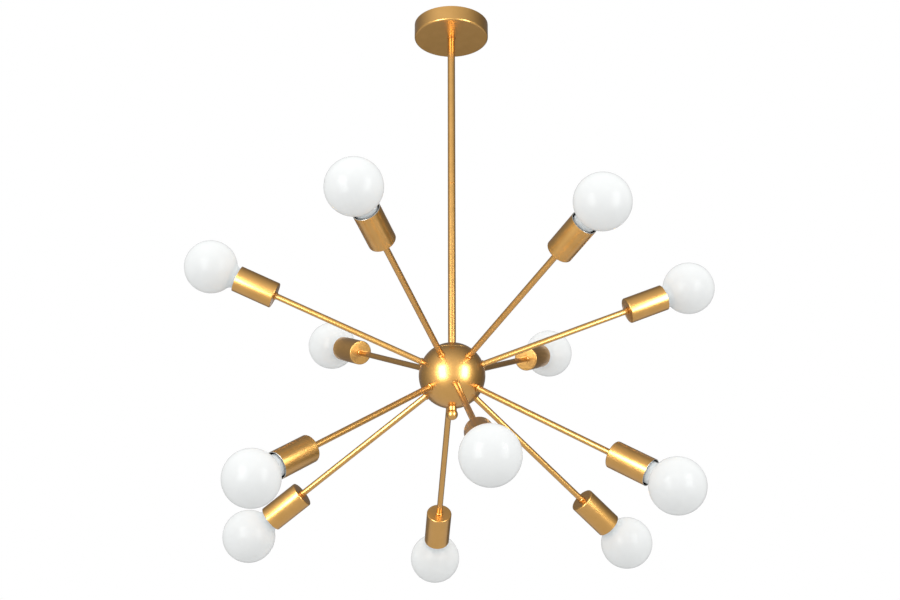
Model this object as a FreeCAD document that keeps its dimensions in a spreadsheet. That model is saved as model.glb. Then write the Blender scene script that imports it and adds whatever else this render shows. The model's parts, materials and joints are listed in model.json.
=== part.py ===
"""Ceiling light with a ball hub and twelve radial arms, in millimetres.

The origin is on the ceiling, on the stem's axis, and +Z points up, so the light hangs below z = 0.
Every piece on an arm is drawn with the arm's own axis along +Z and the hub's centre at z = 0,
then turned and moved to its place on the hub.
"""
import FreeCAD, Part
import math
import os
import re

import Sketcher

Vector = FreeCAD.Vector

SIZES = [
    # the ceiling end
    ("canopy_radius", 60.0, "outer radius of the canopy"),
    ("canopy_height", 25.0, "ceiling to the canopy's underside"),
    ("canopy_wall", 1.0, "sheet of the canopy"),
    ("canopy_bend", 2.5, "outer bend radius of the canopy's edge"),
    ("crossbar_length", 104.0, "crossbar, end to end"),
    ("crossbar_width", 20.0, "crossbar, front to back"),
    ("crossbar_wall", 2.0, "strip that the crossbar is bent from"),
    ("crossbar_drop", 8.0, "how far the crossbar's middle hangs below its ends"),
    ("crossbar_land", 22.0, "length of each end that lies on the ceiling"),
    ("crossbar_ramp", 8.0, "length that each joggle takes"),
    ("crossbar_bend", 1.5, "inner bend radius of the joggles"),
    ("slot_spacing", 79.5, "between the centres of the two slots"),
    ("slot_length", 14.5, "each slot, end to end"),
    ("slot_width", 4.8, "each slot, side to side"),
    ("earth_offset", 15.0, "stem axis to the earthing screw"),
    ("earth_shank", 2.0, "radius of the earthing screw's shank"),
    ("earth_head", 3.6, "radius of its head"),
    ("earth_head_height", 2.4, "height of its head"),
    ("earth_crown", 2.5, "flat on its head"),
    ("earth_reach", 4.0, "how far its shank stands above the crossbar"),
    # threaded tubes and nuts of the stem
    ("pipe_radius", 5.0, "outside of the threaded tubes"),
    ("pipe_bore", 3.5, "radius of the cable way in them"),
    ("pipe_top", 1.0, "ceiling to the top of the crossbar's threaded tube"),
    ("pipe_grip", 18.0, "how far a threaded tube reaches into a rod"),
    ("thread_gap", 0.1, "radial clearance of every thread"),
    ("thread_edge", 0.4, "chamfer at the ends of the threaded tubes"),
    ("nut_flats", 14.0, "stem nuts, across flats"),
    ("nut_height", 4.0, "height of the stem nuts"),
    # the stem
    ("washer_radius", 7.6, "washer between the canopy and the stem"),
    ("washer_height", 1.0, "its thickness"),
    ("washer_edge", 0.3, "chamfer of the washer"),
    ("rod_radius", 6.0, "outside of the stem rods"),
    ("rod_edge", 0.6, "chamfer at the ends of the rods"),
    ("upper_rod_length", 261.5, "washer to the seam in the stem"),
    ("lower_rod_length", 266.5, "seam to the top of the hub"),
    ("cable_radius", 2.7, "cable in the stem"),
    ("cable_top", 2.0, "ceiling to the cable's upper end"),
    # the hub
    ("hub_radius", 50.0, "outside of the hub's ball"),
    ("hub_wall", 1.5, "sheet of the ball"),
    ("seam_angle", 43.5, "pole to the seam of the cap, in degrees"),
    ("seam_edge", 0.5, "depth of the small bevels along the seam"),
    ("seam_bevel", 0.6, "how far each bevel reaches from the seam, in degrees"),
    ("lip_angle", 4.0, "how far the bowl's lip reaches under the cap, in degrees"),
    ("lip_wall", 1.2, "sheet of the lip"),
    ("lip_gap", 0.2, "clearance between lip and cap"),
    ("land_radius", 7.0, "flat at the ball's top and bottom"),
    ("window_width", 4.0, "cable window in the hub's tie tube"),
    ("window_length", 34.0, "height of that window"),
    ("finial_radius", 8.6, "ball of the finial"),
    ("finial_neck", 6.8, "radius of the finial's neck"),
    ("finial_neck_height", 5.8, "hub to the finial's ball, at the neck's side"),
    ("finial_depth", 11.0, "thread in the finial"),
    ("connector_radius", 5.0, "closed-end connector"),
    ("connector_length", 22.0, "its height"),
    ("connector_barrel", 13.0, "height of its straight part"),
    ("connector_tip", 3.0, "radius of its closed end"),
    ("connector_gap", 0.3, "tie tube to the connector"),
    ("connector_turn", 48.0, "its place around the tie tube, in degrees"),
    # the arms
    ("upper_rise", 22.0, "upper arms above level, in degrees"),
    ("lower_fall", 32.0, "lower arms below level, in degrees"),
    ("ring_turn", 5.0, "first lower arm from the front, in degrees"),
    ("arm_radius", 4.6, "outside of the arm tubes"),
    ("arm_bore", 3.4, "radius of the cable way in them"),
    ("arm_start", 40.0, "hub centre to an arm's inner end"),
    ("arm_tail", 16.0, "how far an arm reaches into its cup"),
    ("ring_radius", 5.9, "check rings on the arms"),
    ("ring_height", 3.0, "height of the check rings"),
    ("ring_edge", 0.6, "chamfer of the check rings"),
    ("seat_radius", 6.4, "flat on the ball under a check ring"),
    ("arm_nut_flats", 14.0, "arm nuts, across flats"),
    ("arm_nut_height", 4.0, "height of the arm nuts"),
    ("lead_radius", 1.1, "insulated lead"),
    ("lead_offset", 1.5, "arm axis to each lead"),
    ("lead_start", 22.0, "hub centre to the leads' inner ends"),
    ("lead_gap", 0.5, "leads' outer ends to the centre contact"),
    # the socket cups and lampholders
    ("cup_start", 292.0, "hub centre to the back of a cup"),
    ("cup_length", 62.5, "back to mouth"),
    ("cup_radius", 20.0, "outside of the cups"),
    ("cup_wall", 1.2, "side of the cups"),
    ("cup_back", 1.6, "back of the cups"),
    ("cup_bend", 1.8, "outer bend radius of the cups' backs"),
    ("holder_radius", 16.0, "lampholder body"),
    ("holder_wall", 1.9, "side of the lampholder"),
    ("holder_floor", 6.0, "floor of the lampholder"),
    ("holder_recess", 6.5, "cup mouth to the lampholder's mouth"),
    ("holder_boss", 7.5, "radius of the lampholder's threaded boss"),
    ("holder_gap", 1.5, "arm nut to the lampholder's boss"),
    ("shell_wall", 0.4, "screw shell of the lampholder"),
    ("shell_gap", 0.2, "screw shell to the lampholder's wall"),
    ("shell_length", 22.0, "height of the screw shell"),
    ("contact_radius", 4.6, "foot of the centre contact"),
    ("contact_button", 2.4, "radius of its button"),
    ("contact_crown", 1.4, "flat on the button"),
    ("contact_foot", 0.6, "sheet of its foot"),
    # the bulbs
    ("bulb_stand", 3.5, "cup mouth to the globe"),
    ("bulb_gap", 0.3, "centre contact to the bulb's tip"),
    ("bulb_length", 116.0, "tip to the crown of the globe"),
    ("globe_radius", 40.0, "globe of the bulb"),
    ("glass_wall", 1.0, "glass of the bulb"),
    ("neck_radius", 16.0, "neck of the bulb"),
    ("neck_blend", 9.0, "hollow curve between neck and globe"),
    ("base_radius", 13.1, "screw base of the bulb"),
    ("base_length", 27.0, "tip to the neck's glass"),
    ("base_wall", 0.5, "sheet of the screw base"),
    ("base_flange", 1.0, "flared rim of the base, under the neck"),
    ("tip_radius", 4.5, "end contact of the bulb"),
    ("tip_flat", 3.2, "flat of the end contact"),
    ("tip_height", 1.2, "height of the end contact"),
    ("tip_cone", 3.0, "height of the insulator above it"),
    ("insulator_foot", 5.9, "radius of the insulator around the end contact"),
]

# the photographed light was put together by hand: how far each arm leans off its even place, to the
# side and upwards, in degrees
UPPER_LEANS = (4.5, -2.0, -0.6, -2.0, -0.7, 3.0)
LOWER_LEANS = (3.1, -1.0, 0.5, -0.1, 3.4, 3.4)
UPPER_LIFTS = (0.2, -0.9, 0.2, -0.4, 0.6, 1.1)
LOWER_LIFTS = (-0.2, 0.8, -0.4, 0.3, -1.0, 0.2)

ARM_LETTERS = "abcdefghijkl"
UPRIGHT = FreeCAD.Rotation()
MATHS = {"sqrt", "sin", "cos", "tan"}
SIZE_WORD = re.compile(r"[a-z][a-z_]*")

doc = FreeCAD.newDocument("sputnik_chandelier")
sheet = doc.addObject("Spreadsheet::Sheet", "Sizes")


def fill_sheet():
    """One row for each driving dimension: what it is, its value and its name."""
    rows = list(SIZES)
    for kind, degrees in (("lean", UPPER_LEANS + LOWER_LEANS), ("lift", UPPER_LIFTS + LOWER_LIFTS)):
        for number, angle in enumerate(degrees):
            name = "arm_%s_%s" % (kind, ARM_LETTERS[number])
            rows.append((name, angle, "%s of arm %d, in degrees" % (kind, number + 1)))
    for row, (name, number, meaning) in enumerate(rows, start=1):
        sheet.set("A%d" % row, meaning)
        sheet.set("B%d" % row, str(number))
        sheet.setAlias("B%d" % row, name)
    doc.recompute()


def bound(formula):
    """A formula in size names, as an expression on the sheet's cells."""

    def cell(word):
        name = word.group()
        return name if name in MATHS else "Sizes." + name

    return SIZE_WORD.sub(cell, formula)


def value(formula):
    """What a formula in size names comes to."""
    return float(sheet.evalExpression(bound(formula)))


# ---------------------------------------------------------------- building blocks

def new_body(name):
    body = doc.addObject("PartDesign::Body", name)
    body.Label = name
    return body


def plane_of(body, role):
    return next(plane for plane in body.Origin.OriginFeatures if plane.Role == role)


def new_sketch(body, role, height=None):
    """A sketch on one of the body's own origin planes, or at a height above it."""
    sketch = body.newObject("Sketcher::SketchObject", body.Name + "_sketch")
    sketch.AttachmentSupport = (plane_of(body, role), [""])
    sketch.MapMode = "FlatFace"
    if height is not None:
        sketch.setExpression("AttachmentOffset.Base.z", bound(height))
    return sketch


def fix_point(sketch, geometry, end, place):
    """Tie one point of the sketch to its formulas."""
    for kind, formula in zip(("DistanceX", "DistanceY"), place):
        if abs(value(formula)) < 1e-9:
            axis = -2 if kind == "DistanceX" else -1
            sketch.addConstraint(Sketcher.Constraint("PointOnObject", geometry, end, axis))
            continue
        row = sketch.addConstraint(Sketcher.Constraint(kind, -1, 1, geometry, end, value(formula)))
        sketch.setExpression("Constraints[%d]" % row, bound(formula))


def arc_between(start, end, radius, bulge):
    """The arc from start to end. Its centre is left of the way there if bulge is -1, right if it is 1."""
    half = (end - start) * 0.5
    middle = start + half
    across = Vector(-half.y, half.x, 0).normalize()
    centre = middle - across * (bulge * math.sqrt(radius ** 2 - half.Length ** 2))
    first, last = (end, start) if bulge > 0 else (start, end)
    angles = [math.atan2(point.y - centre.y, point.x - centre.x) for point in (first, last)]
    return Part.ArcOfCircle(Part.Circle(centre, Vector(0, 0, 1), radius), angles[0], angles[1])


def draw_outline(sketch, corners, arcs=None):
    """A closed outline through corners, each a pair of formulas.

    arcs gives the stretches that are round: the number of the corner that one starts from, with
    the formula of its radius and 1 where it bulges to the left of the way, or -1 to the right.
    """
    arcs = arcs or {}
    points = [Vector(value(corner[0]), value(corner[1]), 0) for corner in corners]
    ends = []
    for number, start in enumerate(points):
        end = points[(number + 1) % len(points)]
        if number in arcs:
            radius, bulge = arcs[number]
            edge = sketch.addGeometry(arc_between(start, end, value(radius), bulge), False)
            row = sketch.addConstraint(Sketcher.Constraint("Radius", edge, value(radius)))
            sketch.setExpression("Constraints[%d]" % row, bound(radius))
            ends.append((edge, 2, 1) if bulge > 0 else (edge, 1, 2))
        else:
            edge = sketch.addGeometry(Part.LineSegment(start, end), False)
            ends.append((edge, 1, 2))
    for number, (edge, start_end, _) in enumerate(ends):
        before, _, finish_end = ends[number - 1]
        sketch.addConstraint(Sketcher.Constraint("Coincident", before, finish_end, edge, start_end))
        fix_point(sketch, edge, start_end, corners[number])


def draw_circle(sketch, radius, centre=("0", "0")):
    place = Vector(value(centre[0]), value(centre[1]), 0)
    edge = sketch.addGeometry(Part.Circle(place, Vector(0, 0, 1), value(radius)), False)
    row = sketch.addConstraint(Sketcher.Constraint("Radius", edge, value(radius)))
    sketch.setExpression("Constraints[%d]" % row, bound(radius))
    fix_point(sketch, edge, 3, centre)


def turned(name, corners, arcs=None):
    """A piece turned about its own Z axis from a half section of (radius, height) corners."""
    body = new_body(name)
    sketch = new_sketch(body, "XZ_Plane")
    draw_outline(sketch, corners, arcs)
    turn = body.newObject("PartDesign::Revolution", name + "_turn")
    turn.Profile = sketch
    turn.ReferenceAxis = (sketch, ["V_Axis"])
    turn.Angle = 360
    sketch.Visibility = False
    return body


def tube(name, outer, inner, low, high, edge=None):
    """A straight tube from height low to high, with both ends chamfered outside if edge is given."""
    if edge is None:
        return turned(name, [(inner, low), (outer, low), (outer, high), (inner, high)])
    narrow = "%s - %s" % (outer, edge)
    return turned(name, [
        (inner, low),
        (narrow, low),
        (outer, "%s + %s" % (low, edge)),
        (outer, "%s - %s" % (high, edge)),
        (narrow, high),
        (inner, high),
    ])


def hex_nut(name, flats, bore, height):
    """A hexagon nut standing on z = 0."""
    body = new_body(name)
    sketch = new_sketch(body, "XY_Plane")
    side = "%s / sqrt(3)" % flats
    half = "%s / 2" % flats
    corners = [
        (side, "0"),
        (side + " / 2", half),
        ("-" + side + " / 2", half),
        ("-" + side, "0"),
        ("-" + side + " / 2", "-" + half),
        (side + " / 2", "-" + half),
    ]
    draw_outline(sketch, corners)
    draw_circle(sketch, bore)
    pad = body.newObject("PartDesign::Pad", name + "_pad")
    pad.Profile = sketch
    pad.setExpression("Length", bound(height))
    sketch.Visibility = False
    return body


def group(name, pieces):
    """Equal pieces that share one name."""
    compound = doc.addObject("Part::Compound", name)
    compound.Label = name
    compound.Links = pieces
    return compound


def at_height(formula, x=0.0, y=0.0):
    return FreeCAD.Placement(Vector(x, y, value(formula)), UPRIGHT)


# ---------------------------------------------------------------- places

def stem_top():
    """Height of the stem's upper end, under the washer."""
    return "(0 - canopy_height - washer_height)"


def hub_land():
    """Hub centre to the flats at the ball's poles."""
    return "sqrt(hub_radius^2 - land_radius^2)"


def hub_height():
    """Height of the hub's centre."""
    return "(%s - upper_rod_length - lower_rod_length - %s)" % (stem_top(), hub_land())


def arm_directions():
    """Azimuth and rise of each arm, in degrees. Azimuth 0 is the front (-Y) and 90 is +X."""
    directions = []
    for number, letter in enumerate(ARM_LETTERS):
        lower = number >= 6
        even = value("ring_turn") + 60 * (number % 6) - (0 if lower else 30)
        rise = -value("lower_fall") if lower else value("upper_rise")
        directions.append((even + value("arm_lean_" + letter), rise + value("arm_lift_" + letter)))
    return directions


def on_arm(direction, along=0.0, across=0.0):
    """Where a piece drawn along +Z goes on an arm, moved along the arm and to its side."""
    azimuth, rise = direction
    turn = FreeCAD.Rotation(Vector(0, 0, 1), azimuth - 90)
    tilt = FreeCAD.Rotation(Vector(0, 1, 0), 90 - rise)
    rotation = turn.multiply(tilt)
    centre = Vector(0, 0, value(hub_height()))
    return FreeCAD.Placement(centre + rotation.multVec(Vector(0, across, along)), rotation)


# ---------------------------------------------------------------- the ceiling end

def make_crossbar():
    """Bent strip: its ends lie on the ceiling and its middle hangs lower, to clear the nut above it."""
    body = new_body("ceiling_crossbar")
    sketch = new_sketch(body, "XZ_Plane")
    end = "crossbar_length / 2"
    land = "(crossbar_length / 2 - crossbar_land)"
    middle = "(crossbar_length / 2 - crossbar_land - crossbar_ramp)"
    top = [(end, "0"), (land, "0"), (middle, "0 - crossbar_drop")]
    bottom = [(x, "%s - crossbar_wall" % z) for x, z in top]
    right = top + [("0 - " + x, z) for x, z in reversed(top)]
    below = [("0 - " + x, z) for x, z in bottom] + list(reversed(bottom))
    draw_outline(sketch, right + below)
    strip = body.newObject("PartDesign::Pad", "crossbar_strip")
    strip.Profile = sketch
    strip.Midplane = True
    strip.setExpression("Length", bound("crossbar_width"))
    doc.recompute()

    holes = new_sketch(body, "XY_Plane")
    radius = "slot_width / 2"
    for side in ("", "0 - "):
        inner = "(slot_spacing / 2 - slot_length / 2 + slot_width / 2)"
        outer = "(slot_spacing / 2 + slot_length / 2 - slot_width / 2)"
        draw_slot(holes, side + inner, side + outer, radius)
    draw_circle(holes, "pipe_radius + thread_gap")
    draw_circle(holes, "earth_shank + thread_gap", ("earth_offset", "0"))
    cut = body.newObject("PartDesign::Pocket", "crossbar_holes")
    cut.Profile = holes
    cut.Type = "ThroughAll"
    cut.Midplane = True
    doc.recompute()

    bends = [
        "Edge%d" % number
        for number, edge in enumerate(cut.Shape.Edges, start=1)
        if is_bend(edge)
    ]
    rounded = body.newObject("PartDesign::Fillet", "crossbar_bends")
    rounded.Base = (cut, bends)
    rounded.setExpression("Radius", bound("crossbar_bend"))
    return body


def is_bend(edge):
    """Whether an edge of the strip runs from front to back at one of the joggles' corners."""
    if len(edge.Vertexes) != 2 or edge.Curve.TypeId != "Part::GeomLine":
        return False
    first, last = [vertex.Point for vertex in edge.Vertexes]
    crosses = abs(abs(first.y - last.y) - value("crossbar_width")) < 1e-6
    return crosses and abs(first.x) < value("crossbar_length / 2") - 1e-6


def draw_slot(sketch, left, right, radius):
    """A slot along X with round ends, whose end centres are given."""
    half = value(radius)
    ends = [value(left), value(right)]
    near, far = (left, right) if ends[0] < ends[1] else (right, left)
    low, high = min(ends), max(ends)
    up = Vector(0, 0, 1)
    first = sketch.addGeometry(
        Part.ArcOfCircle(Part.Circle(Vector(low, 0, 0), up, half), math.pi / 2, 3 * math.pi / 2), False)
    last = sketch.addGeometry(
        Part.ArcOfCircle(Part.Circle(Vector(high, 0, 0), up, half), -math.pi / 2, math.pi / 2), False)
    top = sketch.addGeometry(Part.LineSegment(Vector(high, half, 0), Vector(low, half, 0)), False)
    bottom = sketch.addGeometry(Part.LineSegment(Vector(low, -half, 0), Vector(high, -half, 0)), False)
    for one, one_end, other, other_end in (
        (top, 2, first, 1), (first, 2, bottom, 1), (bottom, 2, last, 1), (last, 2, top, 1),
    ):
        sketch.addConstraint(Sketcher.Constraint("Tangent", one, one_end, other, other_end))
    row = sketch.addConstraint(Sketcher.Constraint("Radius", first, half))
    sketch.setExpression("Constraints[%d]" % row, bound(radius))
    for edge, place in ((first, near), (last, far)):
        fix_point(sketch, edge, 3, (place, "0"))


def make_canopy():
    """Pressed pan, open towards the ceiling, with a hole for the threaded tube."""
    rim = "canopy_radius"
    floor = "0 - canopy_height"
    inner_floor = "0 - canopy_height + canopy_wall"
    return turned(
        "canopy",
        [
            (rim, "0"),
            ("canopy_radius - canopy_wall", "0"),
            ("canopy_radius - canopy_wall", "0 - canopy_height + canopy_bend"),
            ("canopy_radius - canopy_bend", inner_floor),
            ("pipe_radius + thread_gap", inner_floor),
            ("pipe_radius + thread_gap", floor),
            ("canopy_radius - canopy_bend", floor),
            (rim, "0 - canopy_height + canopy_bend"),
        ],
        {2: ("canopy_bend - canopy_wall", 1), 6: ("canopy_bend", -1)},
    )


def make_earth_screw():
    """Pan-head screw, head down, through the crossbar's middle."""
    seat = "0 - crossbar_drop - crossbar_wall"
    screw = turned("earth_screw", [
        ("0", seat + " - earth_head_height"),
        ("earth_crown", seat + " - earth_head_height"),
        ("earth_head", seat + " - earth_head_height / 2"),
        ("earth_head", seat),
        ("earth_shank", seat),
        ("earth_shank", "0 - crossbar_drop + earth_reach"),
        ("0", "0 - crossbar_drop + earth_reach"),
    ])
    screw.Placement = FreeCAD.Placement(Vector(value("earth_offset"), 0, 0), UPRIGHT)
    return screw


def make_ceiling_end():
    nipple = tube("crossbar_nipple", "pipe_radius", "pipe_bore",
                  "(%s - pipe_grip)" % stem_top(), "(0 - pipe_top)", "thread_edge")
    above = hex_nut("nut_above_crossbar", "nut_flats", "pipe_radius + thread_gap", "nut_height")
    above.Placement = at_height("0 - crossbar_drop")
    below = hex_nut("nut_below_crossbar", "nut_flats", "pipe_radius + thread_gap", "nut_height")
    below.Placement = at_height("0 - crossbar_drop - crossbar_wall - nut_height")
    nuts = group("crossbar_nuts", [above, below])
    return [make_crossbar(), nipple, nuts, make_earth_screw(), make_canopy()]


# ---------------------------------------------------------------- the stem

def make_stem():
    """Washer, two rods, the threaded tube that joins them and the cable inside."""
    seam = "(%s - upper_rod_length)" % stem_top()
    foot = "(%s - upper_rod_length - lower_rod_length)" % stem_top()
    bore = "(pipe_radius + thread_gap)"
    washer = tube("stem_washer", "washer_radius", bore, stem_top(), "(0 - canopy_height)", "washer_edge")
    upper = tube("upper_rod", "rod_radius", bore, seam, stem_top(), "rod_edge")
    lower = tube("lower_rod", "rod_radius", bore, foot, seam, "rod_edge")
    joiner = tube("rod_joiner", "pipe_radius", "pipe_bore",
                  seam + " - pipe_grip", seam + " + pipe_grip")
    cable = doc.addObject("Part::Cylinder", "stem_cable")
    cable.Label = "stem_cable"
    cable.setExpression("Radius", bound("cable_radius"))
    cable.setExpression("Height", bound("0 - cable_top - %s" % hub_height()))
    cable.Placement = at_height(hub_height())
    return [washer, upper, lower, joiner, cable]


# ---------------------------------------------------------------- the hub

def ball(formula_radius, angle):
    """The point of a circle about the hub's centre at an angle from the top."""
    return ("%s * sin(%s)" % (formula_radius, angle), "%s * cos(%s)" % (formula_radius, angle))


def make_hub_cap():
    """Top of the ball, from the flat under the stem to the seam."""
    inner = "(hub_radius - hub_wall)"
    flat = hub_land()
    hole = "pipe_radius + thread_gap"
    cap = turned(
        "hub_cap",
        [
            (hole, flat),
            (hole, flat + " - hub_wall"),
            ("sqrt(%s^2 - (%s - hub_wall)^2)" % (inner, flat), flat + " - hub_wall"),
            ball(inner, "seam_angle"),
            ball("(hub_radius - seam_edge)", "seam_angle"),
            ball("hub_radius", "(seam_angle - seam_bevel)"),
            ("land_radius", flat),
        ],
        {2: (inner, 1), 5: ("hub_radius", -1)},
    )
    cap.Placement = at_height(hub_height())
    return cap


def make_bowl_shell():
    """The rest of the ball, with a lip that steps in and reaches under the cap."""
    inner = "(hub_radius - hub_wall)"
    lip_outer = "(hub_radius - hub_wall - lip_gap)"
    lip_inner = "(hub_radius - hub_wall - lip_gap - lip_wall)"
    flat = "(0 - %s)" % hub_land()
    hole = "pipe_radius + thread_gap"
    return turned(
        "hub_bowl_shell",
        [
            (hole, flat),
            ("land_radius", flat),
            ball("hub_radius", "(seam_angle + seam_bevel)"),
            ball("(hub_radius - seam_edge)", "seam_angle"),
            ball(lip_outer, "seam_angle"),
            ball(lip_outer, "(seam_angle - lip_angle)"),
            ball(lip_inner, "(seam_angle - lip_angle)"),
            ball(lip_inner, "(seam_angle + lip_angle)"),
            ball(inner, "(seam_angle + lip_angle)"),
            ("sqrt(%s^2 - (%s + hub_wall)^2)" % (inner, flat), flat + " + hub_wall"),
            (hole, flat + " + hub_wall"),
        ],
        {1: ("hub_radius", -1), 4: (lip_outer, -1), 6: (lip_inner, 1), 8: (inner, 1)},
    )


def ring_seat():
    """Hub centre to the flat seats of the check rings."""
    return "sqrt(hub_radius^2 - seat_radius^2)"


def make_hub_bowl(directions):
    """The bowl with a stepped seat for each arm: a hole for the tube and a flat for its check ring."""
    shell = make_bowl_shell()
    shell.Placement = at_height(hub_height())
    cutters = []
    for number, direction in enumerate(directions, start=1):
        seat = turned("seat_cutter_%02d" % number, [
            ("0", "arm_start"),
            ("arm_radius + thread_gap", "arm_start"),
            ("arm_radius + thread_gap", ring_seat()),
            ("seat_radius", ring_seat()),
            ("seat_radius", "hub_radius + hub_wall"),
            ("0", "hub_radius + hub_wall"),
        ])
        seat.Placement = on_arm(direction)
        cutters.append(seat)
    tools = doc.addObject("Part::MultiFuse", "hub_seats")
    tools.Shapes = cutters
    bowl = doc.addObject("Part::Cut", "hub_bowl")
    bowl.Label = "hub_bowl"
    bowl.Base = shell
    bowl.Tool = tools
    return bowl


def make_tie_tube():
    """Threaded tube from the stem through the hub into the finial, with two cable windows."""
    body = tube("hub_tie_tube", "pipe_radius", "pipe_bore",
                "(0 - %s - finial_depth)" % hub_land(), "(%s + pipe_grip)" % hub_land())
    doc.recompute()
    sketch = new_sketch(body, "XZ_Plane")
    draw_outline(sketch, [
        ("window_width / 2", "0 - window_length / 2"),
        ("window_width / 2", "window_length / 2"),
        ("0 - window_width / 2", "window_length / 2"),
        ("0 - window_width / 2", "0 - window_length / 2"),
    ])
    cut = body.newObject("PartDesign::Pocket", "cable_windows")
    cut.Profile = sketch
    cut.Type = "ThroughAll"
    cut.Midplane = True
    body.Placement = at_height(hub_height())
    return body


def make_hub_nuts():
    """Nuts inside the ball whose corners bear on its curved wall, under the cap and on the bowl."""
    corner = "(nut_flats / sqrt(3))"
    seat = "(sqrt((hub_radius - hub_wall)^2 - %s^2) - thread_gap)" % corner
    nuts = []
    for name, place in (
        ("nut_under_cap", "%s + %s - nut_height" % (hub_height(), seat)),
        ("nut_on_bowl", "%s - %s" % (hub_height(), seat)),
    ):
        nut = hex_nut(name, "nut_flats", "pipe_radius + thread_gap", "nut_height")
        nut.Placement = at_height(place)
        nuts.append(nut)
    return group("hub_nuts", nuts)


def make_finial():
    """Ball with a short neck, drilled for the tie tube."""
    neck_top = "(0 - %s)" % hub_land()
    centre = "(%s - finial_neck_height - sqrt(finial_radius^2 - finial_neck^2))" % neck_top
    finial = turned(
        "finial_ball",
        [
            ("pipe_radius + thread_gap", neck_top),
            ("pipe_radius + thread_gap", neck_top + " - finial_depth - thread_gap"),
            ("0", neck_top + " - finial_depth - thread_gap"),
            ("0", centre + " - finial_radius"),
            ("finial_neck", neck_top + " - finial_neck_height"),
            ("finial_neck", neck_top),
        ],
        {3: ("finial_radius", -1)},
    )
    finial.Placement = at_height(hub_height())
    return finial


def make_connectors():
    """Closed-end connectors on either side of the tie tube, at its cable windows."""
    connectors = []
    reach = value("pipe_radius + connector_gap + connector_radius")
    for name, turn in (("live_connector", 0), ("neutral_connector", 180)):
        connector = turned(
            name,
            [
                ("0", "0"),
                ("connector_radius", "0"),
                ("connector_radius", "connector_barrel"),
                ("connector_tip", "connector_length"),
                ("0", "connector_length"),
            ],
        )
        angle = math.radians(value("connector_turn") + turn)
        connector.Placement = at_height(
            hub_height() + " - connector_length / 2", reach * math.sin(angle), -reach * math.cos(angle))
        connectors.append(connector)
    return group("lead_connectors", connectors)


# ---------------------------------------------------------------- the arms

def make_arm_tube(number, direction):
    arm = tube("arm_tube_%02d" % number, "arm_radius", "arm_bore",
               "arm_start", "(cup_start + arm_tail)", "thread_edge")
    arm.Placement = on_arm(direction)
    return arm


def make_check_ring(name, direction, low):
    high = "(%s + ring_height)" % low
    ring = tube(name, "ring_radius", "(arm_radius + thread_gap)", low, high, "ring_edge")
    ring.Placement = on_arm(direction)
    return ring


def make_arm_nut(name, direction, low):
    nut = hex_nut(name, "arm_nut_flats", "arm_radius + thread_gap", "arm_nut_height")
    nut.Placement = on_arm(direction, value(low))
    return nut


def make_leads(number, direction):
    """The two insulated leads of one arm, from inside the hub to the lampholder's floor."""
    leads = []
    for side, name in ((1, "live"), (-1, "neutral")):
        lead = doc.addObject("Part::Cylinder", "%s_lead_%02d" % (name, number))
        lead.setExpression("Radius", bound("lead_radius"))
        lead.setExpression("Height", bound("%s - lead_gap - lead_start" % holder_floor_top()))
        lead.Placement = on_arm(direction, value("lead_start"), side * value("lead_offset"))
        leads.append(lead)
    return leads


# ---------------------------------------------------------------- cups and lampholders

def holder_mouth():
    return "(cup_start + cup_length - holder_recess)"


def holder_foot():
    """Hub centre to the back of the lampholder's boss, just clear of the nut."""
    return "(cup_start + cup_back + arm_nut_height + holder_gap)"


def globe_centre():
    return "(cup_start + cup_length + bulb_stand + globe_radius)"


def bulb_tip():
    """Hub centre to the tip of the seated bulb."""
    return "(%s + globe_radius - bulb_length)" % globe_centre()


def holder_floor_top():
    """Hub centre to the floor that the centre contact lies on."""
    return "(%s - bulb_gap - contact_foot - tip_height)" % bulb_tip()


def make_cup(number, direction):
    """Turned cup with a hole in its back and a round back edge."""
    mouth = "(cup_start + cup_length)"
    hole = "arm_radius + thread_gap"
    cup = turned(
        "socket_cup_%02d" % number,
        [
            (hole, "cup_start"),
            ("cup_radius - cup_bend", "cup_start"),
            ("cup_radius", "cup_start + cup_bend"),
            ("cup_radius", mouth),
            ("cup_radius - cup_wall", mouth),
            ("cup_radius - cup_wall", "cup_start + cup_back"),
            (hole, "cup_start + cup_back"),
        ],
        {1: ("cup_bend", -1)},
    )
    cup.Placement = on_arm(direction)
    return cup


def make_lampholder(number, direction):
    """Insulating body: a threaded boss on the arm, a floor and a round socket."""
    foot = holder_foot()
    floor = holder_floor_top()
    socket = "(holder_radius - holder_wall)"
    holder = turned("lampholder_%02d" % number, [
        ("arm_radius + thread_gap", foot),
        ("holder_boss", foot),
        ("holder_boss", floor + " - holder_floor"),
        ("holder_radius", floor + " - holder_floor"),
        ("holder_radius", holder_mouth()),
        (socket, holder_mouth()),
        (socket, floor),
        ("arm_bore", floor),
        ("arm_bore", "cup_start + arm_tail + thread_gap"),
        ("arm_radius + thread_gap", "cup_start + arm_tail + thread_gap"),
    ])
    holder.Placement = on_arm(direction)
    return holder


def make_screw_shell(number, direction):
    outer = "(holder_radius - holder_wall - shell_gap)"
    top = "(%s - shell_wall)" % holder_mouth()
    shell = tube("screw_shell_%02d" % number, outer, outer + " - shell_wall", top + " - shell_length", top)
    shell.Placement = on_arm(direction)
    return shell


def make_contact(number, direction):
    """Centre contact: a flat foot on the floor and a button just under the bulb's tip."""
    floor = holder_floor_top()
    contact = turned("centre_contact_%02d" % number, [
        ("0", floor),
        ("contact_radius", floor),
        ("contact_radius", floor + " + contact_foot"),
        ("contact_button", floor + " + contact_foot"),
        ("contact_crown", floor + " + contact_foot + tip_height"),
        ("0", floor + " + contact_foot + tip_height"),
    ])
    contact.Placement = on_arm(direction)
    return contact


# ---------------------------------------------------------------- the bulbs

def blend_depth():
    """How far below the globe's centre the hollow curve leaves the neck."""
    return "sqrt((globe_radius + neck_blend)^2 - (neck_radius + neck_blend)^2)"


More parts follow.
